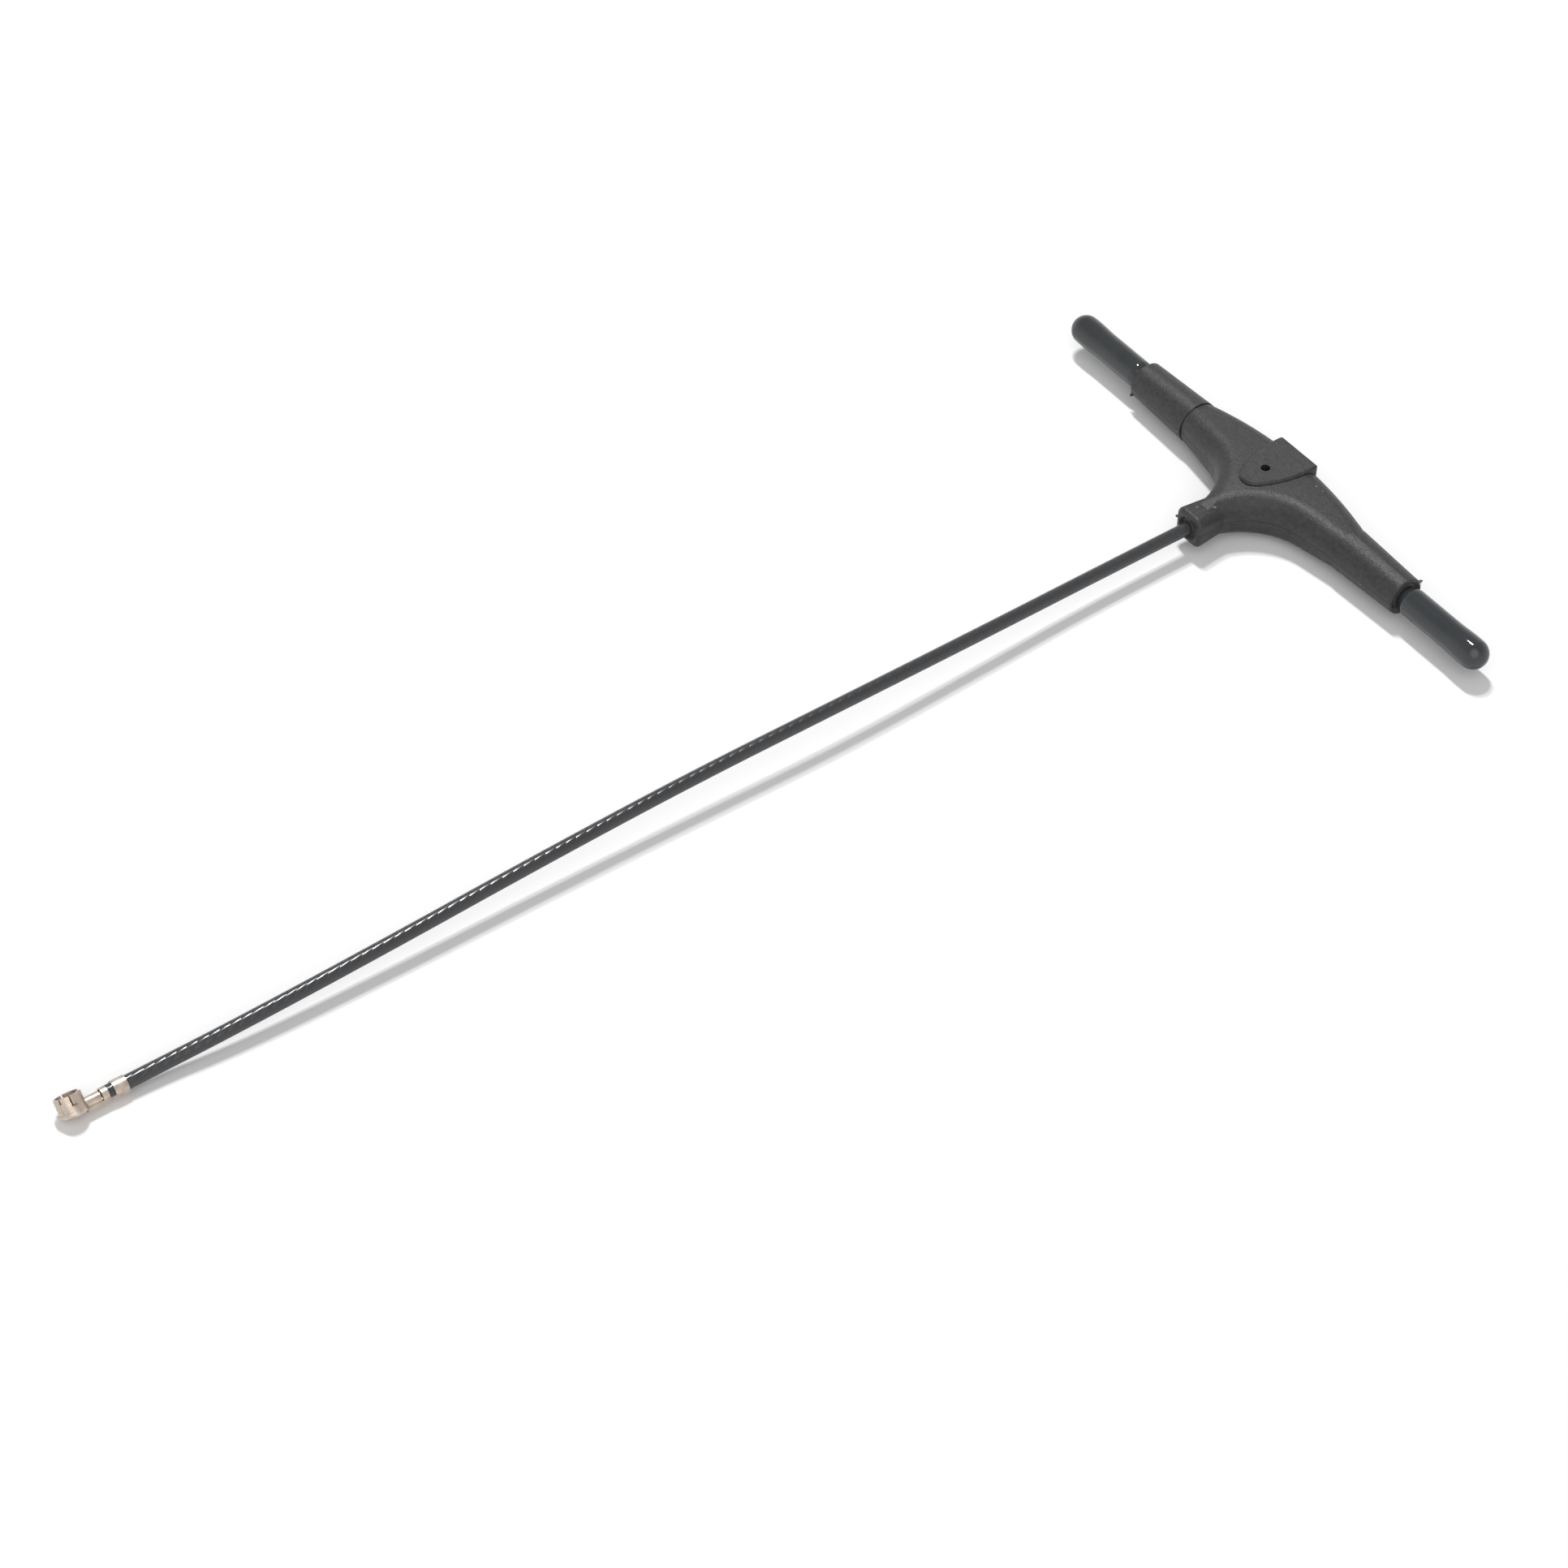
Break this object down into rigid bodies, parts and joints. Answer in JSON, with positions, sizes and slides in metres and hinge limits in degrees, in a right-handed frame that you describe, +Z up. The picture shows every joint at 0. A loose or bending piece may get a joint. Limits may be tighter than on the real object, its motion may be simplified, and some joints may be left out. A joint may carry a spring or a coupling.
{
  "type": "t-shaped receiver antenna",
  "caption": "T-shaped dipole receiver antenna: moulded T housing with glossy round-ended rods, a thin coax tail from its stem and a push-on micro coax plug.",
  "frame": {"origin": "underside pad of the housing, below the crossing of the crossbar and the stem", "axes": "+X along the crossbar, the tail leaves along -Y, +Z up out of the upper pad"},
  "size_m": [0.0518, 0.117, 0.0049],
  "materials": {
    "housing_plastic": "fine moulded grain",
    "rod_plastic": "smooth gloss",
    "element_metal": "drawn",
    "solder": "soldered",
    "braid_metal": "silver plated",
    "jacket_plastic": "gloss over a braid",
    "core_plastic": "waxy",
    "plug_metal": "bright plate",
    "plug_plastic": "moulded",
    "contact_metal": "gold plate"
  },
  "bodies": {
    "root": {"housing": "housing_plastic", "left_rod": "rod_plastic", "right_rod": "rod_plastic", "left_element": "element_metal", "right_element": "element_metal", "feed_joint": "solder", "braid_pigtail": "braid_metal", "coax_jacket": "jacket_plastic", "coax_braid": "braid_metal", "coax_core": "core_plastic", "coax_wire": "braid_metal", "plug_shell": "plug_metal", "plug_insulator": "plug_plastic", "plug_contact": "contact_metal"}
  },
  "joints": []
}
